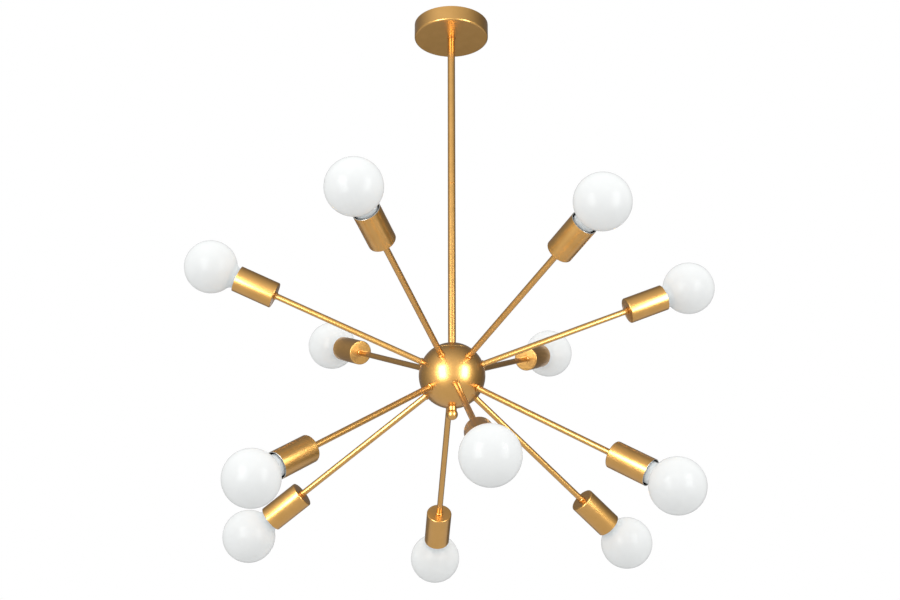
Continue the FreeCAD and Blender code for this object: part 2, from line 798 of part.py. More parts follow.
def make_bulb_glass(number, direction):
    """Hollow opal globe with its neck, of one thickness throughout."""
    centre = globe_centre()
    foot = "(%s + base_length)" % bulb_tip()
    blend = "(%s - %s)" % (centre, blend_depth())
    inner_globe = "(globe_radius - glass_wall)"

    def touch(radius):
        """Where the hollow curve meets a globe of this radius."""
        share = "%s / (globe_radius + neck_blend)" % radius
        return ("(neck_radius + neck_blend) * " + share, "%s - %s * %s" % (centre, blend_depth(), share))

    glass = turned(
        "bulb_glass_%02d" % number,
        [
            ("neck_radius", foot),
            ("neck_radius", blend),
            touch("globe_radius"),
            ("0", centre + " + globe_radius"),
            ("0", centre + " + " + inner_globe),
            touch(inner_globe),
            ("neck_radius - glass_wall", blend),
            ("neck_radius - glass_wall", foot),
        ],
        {
            1: ("neck_blend", 1),
            2: ("globe_radius", -1),
            4: (inner_globe, 1),
            5: ("neck_blend + glass_wall", -1),
        },
    )
    glass.Placement = on_arm(direction)
    return glass


def make_bulb_base(number, direction):
    """Metal sleeve that carries the thread, flared where the glass stands on it."""
    top = "(%s + base_length)" % bulb_tip()
    low = "(%s + tip_height + tip_cone)" % bulb_tip()
    inside = "base_radius - base_wall"
    base = turned("bulb_base_%02d" % number, [
        ("base_radius", low),
        ("base_radius", top + " - base_flange"),
        ("neck_radius", top),
        ("neck_radius - glass_wall", top),
        (inside, top + " - base_flange"),
        (inside, low),
    ])
    base.Placement = on_arm(direction)
    return base


def make_bulb_end(number, direction):
    """Insulator that closes the base, and the end contact on it."""
    tip = bulb_tip()
    face = "(%s + tip_height)" % tip
    insulator = turned("bulb_insulator_%02d" % number, [
        ("0", face),
        ("insulator_foot", face),
        ("base_radius", face + " + tip_cone"),
        ("0", face + " + tip_cone"),
    ])
    contact = turned("bulb_contact_%02d" % number, [
        ("0", tip),
        ("tip_flat", tip),
        ("tip_radius", tip + " + tip_height / 2"),
        ("tip_radius", face),
        ("0", face),
    ])
    for piece in (insulator, contact):
        piece.Placement = on_arm(direction)
    return [insulator, contact]


def make_bulb(number, direction):
    """One bulb, which leaves its cup as a unit."""
    pieces = [make_bulb_glass(number, direction), make_bulb_base(number, direction)]
    return group("bulb_%02d" % number, pieces + make_bulb_end(number, direction))


def make_arms(directions):
    """Everything that there is twelve of: single nodes for tubes, cups and bulbs, groups for the rest."""
    hub_nut_seat = "(sqrt((hub_radius - hub_wall)^2 - (arm_nut_flats / sqrt(3))^2) - thread_gap)"
    singles = []
    shared = {
        "hub_check_rings": [],
        "cup_check_rings": [],
        "arm_hub_nuts": [],
        "arm_cup_nuts": [],
        "arm_leads": [],
        "lampholders": [],
        "holder_screw_shells": [],
        "holder_contacts": [],
    }
    for number, direction in enumerate(directions, start=1):
        tag = "_%02d" % number
        singles += [
            make_arm_tube(number, direction),
            make_cup(number, direction),
            make_bulb(number, direction),
        ]
        shared["hub_check_rings"].append(make_check_ring("hub_ring" + tag, direction, ring_seat()))
        shared["cup_check_rings"].append(
            make_check_ring("cup_ring" + tag, direction, "(cup_start - ring_height)"))
        shared["arm_hub_nuts"].append(
            make_arm_nut("hub_nut" + tag, direction, hub_nut_seat + " - arm_nut_height"))
        shared["arm_cup_nuts"].append(make_arm_nut("cup_nut" + tag, direction, "cup_start + cup_back"))
        shared["arm_leads"] += make_leads(number, direction)
        shared["lampholders"].append(make_lampholder(number, direction))
        shared["holder_screw_shells"].append(make_screw_shell(number, direction))
        shared["holder_contacts"].append(make_contact(number, direction))
    return singles + [group(name, pieces) for name, pieces in shared.items()]


# ---------------------------------------------------------------- the whole light

def check(nodes):
    """Stop if anything failed to build, so that no broken piece is written."""
    for thing in doc.Objects:
        if "Invalid" in thing.State or "Error" in thing.State:
            raise RuntimeError("%s did not build: %s" % (thing.Name, thing.State))
    for node in nodes:
        shape = node.Shape
        if shape.isNull() or not shape.isValid() or not shape.Solids:
            raise RuntimeError("%s has no valid shape" % node.Label)


def main():
    fill_sheet()
    directions = arm_directions()
    nodes = make_ceiling_end() + make_stem()
    nodes += [make_hub_cap(), make_hub_bowl(directions), make_tie_tube(), make_hub_nuts()]
    nodes += [make_finial(), make_connectors()]
    nodes += make_arms(directions)
    doc.recompute()
    check(nodes)
    os.makedirs("parts", exist_ok=True)
    for node in nodes:
        node.Shape.exportStep("parts/%s.step" % node.Label)
    print("%d nodes, %d solids" % (len(nodes), sum(len(node.Shape.Solids) for node in nodes)))


main()
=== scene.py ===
import json
import math

import bpy
from mathutils import Matrix, Vector


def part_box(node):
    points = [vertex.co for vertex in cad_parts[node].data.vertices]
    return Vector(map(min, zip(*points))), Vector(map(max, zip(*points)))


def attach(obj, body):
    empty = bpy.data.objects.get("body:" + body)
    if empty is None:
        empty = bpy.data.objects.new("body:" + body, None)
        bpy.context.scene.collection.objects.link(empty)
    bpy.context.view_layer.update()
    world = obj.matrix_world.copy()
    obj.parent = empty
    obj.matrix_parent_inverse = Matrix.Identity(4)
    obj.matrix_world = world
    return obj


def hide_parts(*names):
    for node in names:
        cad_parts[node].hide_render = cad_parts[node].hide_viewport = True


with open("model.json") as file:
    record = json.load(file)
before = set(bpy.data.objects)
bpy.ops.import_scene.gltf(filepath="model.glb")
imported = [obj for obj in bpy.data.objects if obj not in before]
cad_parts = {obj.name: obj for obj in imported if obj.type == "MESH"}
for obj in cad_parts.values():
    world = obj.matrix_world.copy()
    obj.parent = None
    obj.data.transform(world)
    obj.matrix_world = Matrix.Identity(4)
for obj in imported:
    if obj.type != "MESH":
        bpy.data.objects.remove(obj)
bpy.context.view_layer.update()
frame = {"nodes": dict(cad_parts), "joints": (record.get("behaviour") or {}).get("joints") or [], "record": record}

# ---------------------------------------------------------------- sizes, in metres

ARMS = ["%02d" % number for number in range(1, 13)]

HUB_RADIUS = 0.05
HUB_LAND = 0.007
CUP_START = 0.292
CUP_LENGTH = 0.0625
CUP_RADIUS = 0.020
CUP_WALL = 0.0012
CUP_BACK = 0.0016
CUP_BEND = 0.0018
CUP_HOLE = 0.0047
CUP_RIM_EDGE = 0.0002
GLOBE_RADIUS = 0.04
BULB_LENGTH = 0.116
BULB_STAND = 0.0035
NECK_RADIUS = 0.016
NECK_BLEND = 0.009
BASE_RADIUS = 0.0131
BASE_LENGTH = 0.027
BASE_COLLAR = 0.0045
BASE_FLANGE = 0.001
BASE_LIP = 0.0016
BASE_LIP_BEND = 0.0007
BASE_LIP_HEIGHT = 0.0004
BASE_FOOT = 0.001
BASE_BEAD = 0.0003
TIP_RADIUS = 0.0045
TIP_HEIGHT = 0.0012
TIP_CONE = 0.003
TIP_DOME = ((0.0, 0.0), (0.0012, 0.0), (0.0026, 0.0002), (0.0038, 0.0006))
TIP_SEAT = 0.0002
INSULATOR_FOOT = 0.0059
INSULATOR_EDGE = 0.0006
INSULATOR_BEVEL = 0.0005
INSULATOR_TOP = 0.0112
INSULATOR_LAND = 0.0002
INSULATOR_DEPTH = 0.0008
BULB_PITCH = 0.0036
BULB_THREAD = 0.0008
SHELL_INSIDE = 0.0135
SHELL_WALL = 0.0004
SHELL_LENGTH = 0.022
SHELL_THREAD = 0.00025
HOLDER_RECESS = 0.0065
PIPE_RADIUS = 0.005
PIPE_BORE = 0.0035
PIPE_PITCH = 0.001
PIPE_THREAD = 0.00045
NUT_FLATS = 0.014
NUT_CHAMFER = 0.0007
NUT_HEIGHT = 0.004
CROSSBAR_DROP = 0.008
CROSSBAR_WALL = 0.002
EARTH_SHANK = 0.002
EARTH_HEAD = 0.0036
EARTH_HEAD_HEIGHT = 0.0024
EARTH_REACH = 0.004
EARTH_OFFSET = 0.015
EARTH_PITCH = 0.0007
EARTH_THREAD = 0.0003
EARTH_ROUND = 0.0008
EARTH_NECK = 0.0001
EARTH_TIP = 0.0005
NUT_FACE = 0.98
NUT_PLAY = 0.0001

# points around each turned piece, and the angle from which an edge stays sharp
GLOBE_SIDES = 128
CUP_SIDES = 96
NUT_SIDES = 72
BASE_SIDES = 64
PIPE_SIDES = 48
SCREW_SIDES = 40
SHARP_ANGLE = math.radians(32)
AXIS_RADIUS = 1e-6

MOUTH = CUP_START + CUP_LENGTH
GLOBE_CENTRE = MOUTH + BULB_STAND + GLOBE_RADIUS
BULB_TIP = GLOBE_CENTRE + GLOBE_RADIUS - BULB_LENGTH
HUB_CENTRE = Vector((0, 0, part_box("hub_bowl")[0].z + math.sqrt(HUB_RADIUS ** 2 - HUB_LAND ** 2)))

# the camera, seen from the hub's centre
CAMERA_DISTANCE = 2.24968
CAMERA_BELOW = math.radians(17.948)
CAMERA_PITCH = math.radians(20.833)
CAMERA_YAW = math.radians(-0.077)
CAMERA_ROLL = math.radians(-0.107)
CAMERA_FOCUS = 1498.54
PHOTO_WIDTH = 900
SENSOR_WIDTH = 36.0

# the two strip lamps and the fill lamp, from the hub's centre
LAMP_LEFT = Vector((-0.711, -1.080, -0.059))
LAMP_RIGHT = Vector((0.983, -1.024, -0.029))
LAMP_WIDTH = 0.54
LAMP_HEIGHT = 1.00
LAMP_POWER = 20.0
FILL_PLACE = Vector((-0.3, -1.9, 1.4))
FILL_SIZE = 1.6
FILL_POWER = 2.0

# how bright metal sees the studio from behind the camera (0) to behind the light (1), and left to right
STUDIO_LEVELS = ((0.0, 0.94), (0.2, 0.66), (0.5, 0.35), (0.65, 0.22), (1.0, 0.17))
STUDIO_SIDES = (1.45, 0.72)

# how bright everything else sees the world, behind the camera and behind the light
AMBIENT_LEVELS = (1.18, 0.92)

# the floor's place under the light, and how its own glow grows between two distances from the middle
FLOOR_DROP = 1.75
FLOOR_SIZE = 5.0
FLOOR_GLOW = (0.7, 1.0)
FLOOR_FADE = (0.8, 2.25)


# ---------------------------------------------------------------- mesh building

def arm_axis(number):
    """Direction of an arm, which is the way its bulb leaves."""
    name = "bulb_%s_screw_out" % number
    return Vector(next(joint["axis"] for joint in frame["joints"] if joint["name"] == name))


def on_arm(number):
    """Places a piece drawn about +Z, with the hub's centre at z = 0, on an arm."""
    axis = arm_axis(number)
    side = Vector((0, 0, 1)).cross(axis).normalized()
    turn = Matrix((side, axis.cross(side), axis)).transposed().to_4x4()
    return Matrix.Translation(HUB_CENTRE) @ turn


def arc(centre, radius, start, end, steps):
    """Points (distance from the axis, height) of a round stretch. Angles are in degrees from outwards."""
    points = []
    for step in range(steps + 1):
        angle = math.radians(start + (end - start) * step / steps)
        points.append((centre[0] + radius * math.cos(angle), centre[1] + radius * math.sin(angle)))
    return points


def grid_object(name, rows, place=Matrix(), looped=False, paints=None):
    """A mesh from rows of points that go once around, moved to its place in the frame.

    looped joins the last row to the first; without it both ends get a cap. paints gives the material
    number of each band of faces. The UV map holds the turn and the way along the profile, in metres.
    """
    count = len(rows[0])
    vertices = [place @ Vector(point) for row in rows for point in row]
    way = [0.0]
    for row, following in zip(rows, rows[1:] + rows[:1]):
        way.append(way[-1] + (Vector(following[0]) - Vector(row[0])).length)
    faces = []
    numbers = []
    bands = len(rows) if looped else len(rows) - 1
    for band in range(bands):
        upper = (band + 1) % len(rows)
        for column in range(count):
            after = (column + 1) % count
            faces.append((
                band * count + column,
                band * count + after,
                upper * count + after,
                upper * count + column,
            ))
            numbers.append(paints[band] if paints else 0)
    if not looped:
        faces.append(tuple(reversed(range(count))))
        faces.append(tuple((len(rows) - 1) * count + column for column in range(count)))
        numbers += [numbers[0], numbers[-1]]
    mesh = bpy.data.meshes.new(name)
    mesh.from_pydata(vertices, [], faces)
    mesh.polygons.foreach_set("material_index", numbers)
    marks = mesh.uv_layers.new(name="turning")
    for face in mesh.polygons:
        last = face.index % count == count - 1
        end = face.index >= bands * count
        for corner in face.loop_indices:
            row, column = divmod(mesh.loops[corner].vertex_index, count)
            turn = 1.0 if last and column == 0 and not end else column / count
            height = way[bands] if looped and face.index >= (bands - 1) * count and row == 0 else way[row]
            marks.data[corner].uv = (turn, height)
    mesh.validate()
    mesh.shade_smooth()
    mesh.set_sharp_from_angle(angle=SHARP_ANGLE)
    piece = bpy.data.objects.new(name, mesh)
    bpy.context.scene.collection.objects.link(piece)
    return piece


def circle(radius, height, around):
    turn = 2 * math.pi / around
    return [(radius * math.cos(turn * n), radius * math.sin(turn * n), height) for n in range(around)]


def turned(name, profile, place=Matrix(), around=CUP_SIDES, looped=False, paints=None):
    """A piece turned about Z from a profile of (distance from the axis, height) points."""
    rows = [circle(max(radius, AXIS_RADIUS), height, around) for radius, height in profile]
    return grid_object(name, rows, place, looped, paints)


def smooth_step(share):
    share = min(max(share, 0.0), 1.0)
    return share * share * (3 - 2 * share)


def thread_rows(radius, depth, pitch, low, high, around, steps=10):
    """Rows of a screw thread with round crests at radius, which runs out at both ends."""
    count = max(2, round((high - low) / pitch * steps))
    rows = []
    for number in range(count + 1):
        height = low + (high - low) * number / count
        fade = smooth_step((height - low) / pitch) * smooth_step((high - height) / pitch)
        row = []
        for column in range(around):
            angle = 2 * math.pi * column / around
            wave = 0.5 + 0.5 * math.cos(2 * math.pi * height / pitch - angle)
            reach = radius - depth + depth * (wave * fade + (1 - fade))
            row.append((reach * math.cos(angle), reach * math.sin(angle), height))
        rows.append(row)
    return rows


def hex_rows(flats, bore, chamfer, low, high, around=NUT_SIDES):
    """Rows of a hexagon nut whose corners are turned down at both faces, bored through."""

    def row(height, limit):
        points = []
        for column in range(around):
            angle = 2 * math.pi * column / around
            side = (angle + math.pi / 6) % (math.pi / 3) - math.pi / 6
            reach = min(flats / 2 / math.cos(side), limit)
            points.append((reach * math.cos(angle), reach * math.sin(angle), height))
        return points

    corner = flats / math.sqrt(3)
    face = flats / 2 * NUT_FACE
    return [
        circle(bore, low, around),
        row(low, face),
        row(low + chamfer * 0.5, (face + corner) / 2),
        row(low + chamfer, corner),
        row(high - chamfer, corner),
        row(high - chamfer * 0.5, (face + corner) / 2),
        row(high, face),
        circle(bore, high, around),
    ]


def dress(piece, body, materials, node=None):
    """Give a piece its materials and body, and hide the CAD node it stands for."""
    for material in materials:
        piece.data.materials.append(material)
    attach(piece, body)
    if node:
        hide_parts(node)
    return piece


# ---------------------------------------------------------------- materials

def new_material(name):
    material = bpy.data.materials.new(name)
    material.use_nodes = True
    tree = material.node_tree
    return material, tree, tree.nodes["Principled BSDF"]


def set_inputs(node, **values):
    for name, number in values.items():
        node.inputs[name.replace("_", " ")].default_value = number


def add(tree, kind, **settings):
    node = tree.nodes.new(kind)
    for name, setting in settings.items():
        setattr(node, name, setting)
    return node


def place_of(tree):
    return add(tree, "ShaderNodeTexCoord").outputs["Object"]


def noise(tree, place, scale, detail=2.0):
    node = add(tree, "ShaderNodeTexNoise")
    set_inputs(node, Scale=scale, Detail=detail)
    tree.links.new(place, node.inputs["Vector"])
    return node.outputs["Fac"]


def between(tree, factor, low, high, start=0.3, end=0.7):
    """A number that goes from low to high as factor goes from start to end."""
    node = add(tree, "ShaderNodeMapRange")
    node.inputs["From Min"].default_value = start
    node.inputs["From Max"].default_value = end
    node.inputs["To Min"].default_value = low
    node.inputs["To Max"].default_value = high
    tree.links.new(factor, node.inputs["Value"])
    return node.outputs["Result"]


def two_colours(tree, factor, first, second):
    node = add(tree, "ShaderNodeMix", data_type="RGBA")
    node.inputs["A"].default_value = (*first, 1)
    node.inputs["B"].default_value = (*second, 1)
    tree.links.new(factor, node.inputs["Factor"])
    return node.outputs["Result"]


def bump(tree, height, strength, distance, below=None):
    node = add(tree, "ShaderNodeBump")
    node.inputs["Strength"].default_value = strength
    node.inputs["Distance"].default_value = distance
    tree.links.new(height, node.inputs["Height"])
    if below:
        tree.links.new(below, node.inputs["Normal"])
    return node.outputs["Normal"]


def profile_way(tree):
    """The way along a turned piece's profile, in metres, from its UV map."""
    split = add(tree, "ShaderNodeSeparateXYZ")
    tree.links.new(add(tree, "ShaderNodeUVMap", uv_map="turning").outputs["UV"], split.inputs["Vector"])
    return split.outputs["Y"]


def turning_lines(tree, lines, profile):
    """Fine rings, on walls and flats alike, as a lathe or a spinning brush leaves.

    They follow the profile of a turned piece, or else the Z axis of the light.
    """
    if profile:
        ring = add(tree, "ShaderNodeCombineXYZ")
        tree.links.new(profile_way(tree), ring.inputs["X"])
        return noise(tree, ring.outputs["Vector"], lines, detail=3.0)
    split = add(tree, "ShaderNodeSeparateXYZ")
    tree.links.new(place_of(tree), split.inputs["Vector"])
    flat = add(tree, "ShaderNodeCombineXYZ")
    for side in "XY":
        tree.links.new(split.outputs[side], flat.inputs[side])
    reach = add(tree, "ShaderNodeVectorMath", operation="LENGTH")
    tree.links.new(flat.outputs["Vector"], reach.inputs[0])
    ring = add(tree, "ShaderNodeCombineXYZ")
    tree.links.new(reach.outputs["Value"], ring.inputs["X"])
    tree.links.new(split.outputs["Z"], ring.inputs["Y"])
    return noise(tree, ring.outputs["Vector"], lines, detail=3.0)


def gold(name, profile=False, lines=0.02):
    """Satin gold under a clear coat, with a faint grain and faint turning lines."""
    material, tree, shader = new_material(name)
    place = place_of(tree)
    mottle = noise(tree, place, scale=45, detail=3.0)
    colour = two_colours(tree, between(tree, mottle, 0, 1), (0.640, 0.342, 0.078), (0.690, 0.374, 0.094))
    tree.links.new(colour, shader.inputs["Base Color"])
    gloss = noise(tree, place, scale=160)
    tree.links.new(between(tree, gloss, low=0.32, high=0.35), shader.inputs["Roughness"])
    skin = bump(tree, noise(tree, place, scale=900, detail=1.0), strength=0.02, distance=0.0001)
    if lines:
        skin = bump(tree, turning_lines(tree, 1200, profile), strength=lines, distance=0.0001, below=skin)
    tree.links.new(skin, shader.inputs["Normal"])
    set_inputs(shader, Metallic=1.0, Coat_Weight=1.0, Coat_Roughness=0.20, Coat_IOR=1.5)
    shader.inputs["Specular Tint"].default_value = (0.80, 0.66, 0.50, 1)
    return material


def metal(name, dark, light, rough, grain=700, lines=0.0):
    """Bare or plated metal with uneven tone and a little grain."""
    material, tree, shader = new_material(name)
    place = place_of(tree)
    tone = noise(tree, place, scale=90, detail=4.0)
    tree.links.new(two_colours(tree, between(tree, tone, 0, 1), dark, light), shader.inputs["Base Color"])
    wear = noise(tree, place, scale=240)
    tree.links.new(between(tree, wear, low=rough - 0.05, high=rough + 0.07), shader.inputs["Roughness"])
    skin = bump(tree, noise(tree, place, grain), strength=0.12, distance=0.0001)
    if lines:
        skin = bump(tree, turning_lines(tree, 2200, True), strength=lines, distance=0.0001, below=skin)
    tree.links.new(skin, shader.inputs["Normal"])
    set_inputs(shader, Metallic=1.0)
    return material


def moulded(name, dark, light, rough, grain=900, strength=0.2, coat=0.0):
    """Plastic, rubber, glass frit or paint: mottled colour and a moulded grain."""
    material, tree, shader = new_material(name)
    place = place_of(tree)
    tone = noise(tree, place, scale=120, detail=3.0)
    tree.links.new(two_colours(tree, between(tree, tone, 0, 1), dark, light), shader.inputs["Base Color"])
    wear = noise(tree, place, scale=300)
    tree.links.new(between(tree, wear, low=rough - 0.04, high=rough + 0.06), shader.inputs["Roughness"])
    tree.links.new(bump(tree, noise(tree, place, grain), strength, distance=0.0001), shader.inputs["Normal"])
    set_inputs(shader, Coat_Weight=coat, Coat_Roughness=0.1)
    return material


def opal_glass():
    """White opal glass with a gloss skin, a little clearer and cooler at the neck."""
    material, tree, shader = new_material("opal_glass")
    place = place_of(tree)
    cloud = noise(tree, place, scale=28)
    body = two_colours(tree, between(tree, cloud, 0, 1), (0.868, 0.885, 0.882), (0.898, 0.915, 0.910))
    neck = between(tree, profile_way(tree), 1, 0, start=0.006, end=0.020)
    blend = add(tree, "ShaderNodeMix", data_type="RGBA")
    tree.links.new(neck, blend.inputs["Factor"])
    tree.links.new(body, blend.inputs["A"])
    blend.inputs["B"].default_value = (0.82, 0.87, 0.89, 1)
    tree.links.new(blend.outputs["Result"], shader.inputs["Base Color"])
    gloss = noise(tree, place, scale=60)
    tree.links.new(between(tree, gloss, low=0.20, high=0.23), shader.inputs["Roughness"])
    wave = noise(tree, place, scale=30, detail=0.0)
    tree.links.new(bump(tree, wave, strength=0.02, distance=0.0003), shader.inputs["Normal"])
    set_inputs(shader, Subsurface_Weight=0.2, Subsurface_Scale=0.006, IOR=1.5, Specular_IOR_Level=0.09)
    shader.inputs["Subsurface Radius"].default_value = (1.0, 1.0, 1.0)
    return material


GOLD = gold("satin_gold")
GOLD_CUP = gold("satin_gold_cup", profile=True)
GOLD_TUBE = gold("satin_gold_tube", lines=0.0)
# grey-white rim of the cups: a painted highlight, light caught on the mouth's edge, in place of the gold
CUP_RIM_HIGHLIGHT = metal("rim_painted_highlight", (0.48, 0.48, 0.46), (0.60, 0.60, 0.57), 0.36)
# near-black inside of the cups: painted shade for the dark gap between the cup wall and the bulb's neck
CUP_INSIDE_PAINTED_SHADE = moulded("cup_inside_painted_shade", (0.045, 0.040, 0.034), (0.070, 0.060, 0.048), 0.55)
ZINC = metal("zinc_plate", (0.50, 0.51, 0.52), (0.66, 0.66, 0.64), 0.32)
BRASS = metal("plain_brass", (0.56, 0.40, 0.16), (0.68, 0.50, 0.22), 0.28)
NICKEL = metal("nickel_plate", (0.58, 0.57, 0.55), (0.70, 0.69, 0.66), 0.22, lines=0.05)
SOLDER = metal("solder", (0.52, 0.52, 0.53), (0.66, 0.66, 0.67), 0.40, grain=420)
GREEN = moulded("green_paint", (0.03, 0.22, 0.07), (0.05, 0.30, 0.10), 0.30, coat=0.5)
PHENOLIC = moulded("phenolic", (0.022, 0.021, 0.020), (0.040, 0.038, 0.036), 0.42)
SHEATH = moulded("cable_sheath", (0.030, 0.030, 0.030), (0.050, 0.050, 0.050), 0.50)
CONNECTOR = moulded("connector", (0.62, 0.36, 0.05), (0.72, 0.44, 0.08), 0.30, coat=0.3)
FRIT = moulded("black_glass", (0.010, 0.010, 0.012), (0.020, 0.020, 0.024), 0.12, strength=0.05, coat=0.6)
OPAL = opal_glass()

SLOT_MATERIALS = {
    "satin_gold": GOLD,
    "zinc_steel": ZINC,
    "green_screw": GREEN,
    "holder_body": PHENOLIC,
    "holder_metal": BRASS,
    "cable_sheath": SHEATH,
    "connector_body": CONNECTOR,
    "opal_glass": OPAL,
}


def dress_nodes():
    """Each CAD node takes the material of its slot; the slim tubes take gold without turning lines."""
    for part in frame["record"]["subparts"]:
        node = frame["nodes"][part["node"]]
        material = SLOT_MATERIALS[part["material_slot"]]
        if part["node"].startswith("arm_tube"):
            material = GOLD_TUBE
        node.data.materials.clear()
        node.data.materials.append(material)


# ---------------------------------------------------------------- pieces

def make_globe(number):
    """Opal globe and neck in one blown shape."""
    reach = GLOBE_RADIUS + NECK_BLEND
    drop = math.sqrt(reach ** 2 - (NECK_RADIUS + NECK_BLEND) ** 2)
    lean = math.degrees(math.atan2(drop, NECK_RADIUS + NECK_BLEND))
    profile = [(NECK_RADIUS - BASE_FLANGE, BULB_TIP + BASE_LENGTH), (NECK_RADIUS, BULB_TIP + BASE_LENGTH)]
    profile += arc((NECK_RADIUS + NECK_BLEND, GLOBE_CENTRE - drop), NECK_BLEND, 180, 180 - lean, 10)
    profile += arc((0, GLOBE_CENTRE), GLOBE_RADIUS, -lean, 90, 60)[1:]
    globe = turned("bulb_%s_globe" % number, profile, on_arm(number), around=GLOBE_SIDES)
    return dress(globe, "bulb_" + number, [OPAL], "bulb_" + number)


def make_base(number):
    """Screw base: rolled lower edge, rope thread, smooth collar and the flare under the glass."""
    low = BULB_TIP + TIP_HEIGHT + TIP_CONE
    top = BULB_TIP + BASE_LENGTH
    rows = [
        circle(BASE_RADIUS - BASE_LIP, low, BASE_SIDES),
        circle(BASE_RADIUS - BASE_LIP_BEND, low + BASE_LIP_HEIGHT, BASE_SIDES),
    ]
    foot, collar = low + BASE_FOOT, top - BASE_COLLAR
    rows += thread_rows(BASE_RADIUS, BULB_THREAD, BULB_PITCH, foot, collar, BASE_SIDES, steps=12)
    rows += [
        circle(BASE_RADIUS, top - BASE_FLANGE * 1.6, BASE_SIDES),
        circle(BASE_RADIUS + BASE_BEAD, top - BASE_FLANGE * 1.1, BASE_SIDES),
        circle(NECK_RADIUS, top - BASE_FLANGE * 0.2, BASE_SIDES),
        circle(NECK_RADIUS, top - BASE_FLANGE * 0.02, BASE_SIDES),
    ]
    base = grid_object("bulb_%s_base" % number, rows, on_arm(number))
    return dress(base, "bulb_" + number, [NICKEL], "bulb_" + number)


def make_bulb_end(number):
    """Black glass insulator and the domed solder contact on it."""
    face = BULB_TIP + TIP_HEIGHT
    cone_profile = [
        (0, face),
        (INSULATOR_FOOT - INSULATOR_EDGE, face),
        (INSULATOR_FOOT, face + INSULATOR_BEVEL),
        (INSULATOR_TOP, face + TIP_CONE - INSULATOR_LAND),
        (INSULATOR_TOP, face + TIP_CONE + INSULATOR_DEPTH),
        (0, face + TIP_CONE + INSULATOR_DEPTH),
    ]
    dome_profile = [(radius, BULB_TIP + rise) for radius, rise in TIP_DOME]
    dome_profile += [(TIP_RADIUS, face), (0, face + TIP_SEAT)]
    cone = turned("bulb_%s_insulator" % number, cone_profile, on_arm(number), around=BASE_SIDES)
    dome = turned("bulb_%s_contact" % number, dome_profile, on_arm(number), around=PIPE_SIDES)
    for piece, material in ((cone, FRIT), (dome, SOLDER)):
        dress(piece, "bulb_" + number, [material], "bulb_" + number)


def make_cup(number):
    """Socket cup: gold outside, a grey rim at the mouth painted as the highlight on its edge, and a dark inside
    painted as shade.
    """
    inside = CUP_RADIUS - CUP_WALL
    outer = [(CUP_HOLE, CUP_START)]
    outer += arc((CUP_RADIUS - CUP_BEND, CUP_START + CUP_BEND), CUP_BEND, -90, 0, 8)
    outer += [(CUP_RADIUS, MOUTH - CUP_RIM_EDGE)]
    rim = [(CUP_RADIUS - CUP_RIM_EDGE, MOUTH), (inside + CUP_RIM_EDGE, MOUTH), (inside, MOUTH - CUP_RIM_EDGE)]
    inner = [(inside, CUP_START + CUP_BACK), (CUP_HOLE, CUP_START + CUP_BACK)]
    paints = [0] * (len(outer) - 1) + [1] * len(rim) + [2] * (len(inner) + 1)
    cup = turned("cup_" + number, outer + rim + inner, on_arm(number), looped=True, paints=paints)
    return dress(cup, "fixture", [GOLD_CUP, CUP_RIM_HIGHLIGHT, CUP_INSIDE_PAINTED_SHADE], "socket_cup_" + number)


def make_screw_shell(number):
    """Rolled thread of the lampholder, with the pitch of the bulb's."""
    high = MOUTH - HOLDER_RECESS - SHELL_WALL
    low = high - SHELL_LENGTH
    inner = thread_rows(SHELL_INSIDE, SHELL_THREAD, BULB_PITCH, low, high, BASE_SIDES)
    outer = thread_rows(SHELL_INSIDE + SHELL_WALL, SHELL_THREAD, BULB_PITCH, low, high, BASE_SIDES)
    rows = outer + list(reversed(inner))
    shell = grid_object("screw_shell_" + number, rows, on_arm(number), looped=True)
    return dress(shell, "fixture", [BRASS], "holder_screw_shells")


def make_nipple():
    """Threaded tube through the crossbar and the canopy, into the rod."""
    low, high = (corner.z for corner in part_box("crossbar_nipple"))
    outer = thread_rows(PIPE_RADIUS, PIPE_THREAD, PIPE_PITCH, low, high, PIPE_SIDES, steps=8)
    rows = outer + [circle(PIPE_BORE, height, PIPE_SIDES) for height in (high, low)]
    nipple = grid_object("nipple_thread", rows, looped=True)
    return dress(nipple, "fixture", [ZINC], "crossbar_nipple")


def make_crossbar_nuts():
    """Hexagon nuts above and below the crossbar's middle."""
    faces = (("upper", -CROSSBAR_DROP), ("lower", -CROSSBAR_DROP - CROSSBAR_WALL - NUT_HEIGHT))
    for name, low in faces:
        rows = hex_rows(NUT_FLATS, PIPE_RADIUS + NUT_PLAY, NUT_CHAMFER, low, low + NUT_HEIGHT)
        nut = grid_object("crossbar_nut_" + name, rows, looped=True)
        dress(nut, "fixture", [ZINC], "crossbar_nuts")


def make_earth_screw():
    """Green screw: domed head under the crossbar and a threaded end above it."""
    seat = -CROSSBAR_DROP - CROSSBAR_WALL
    crown = seat - EARTH_HEAD_HEIGHT
    dome = arc((0, seat - EARTH_ROUND), EARTH_HEAD, -80, 0, 8)
    profile = [(AXIS_RADIUS, crown)] + [point for point in dome if point[1] > crown]
    profile += [(EARTH_HEAD, seat), (EARTH_SHANK, seat)]
    rows = [circle(radius, height, SCREW_SIDES) for radius, height in profile]
    tip = -CROSSBAR_DROP + EARTH_REACH
    low, high = seat + EARTH_NECK, tip - EARTH_THREAD
    rows += thread_rows(EARTH_SHANK, EARTH_THREAD, EARTH_PITCH, low, high, SCREW_SIDES, steps=8)
    rows += [circle(radius, tip, SCREW_SIDES) for radius in (EARTH_SHANK - EARTH_TIP, AXIS_RADIUS)]
    screw = grid_object("earth_screw_thread", rows, Matrix.Translation((EARTH_OFFSET, 0, 0)))
    return dress(screw, "fixture", [GREEN], "earth_screw")


# ---------------------------------------------------------------- light, floor and camera

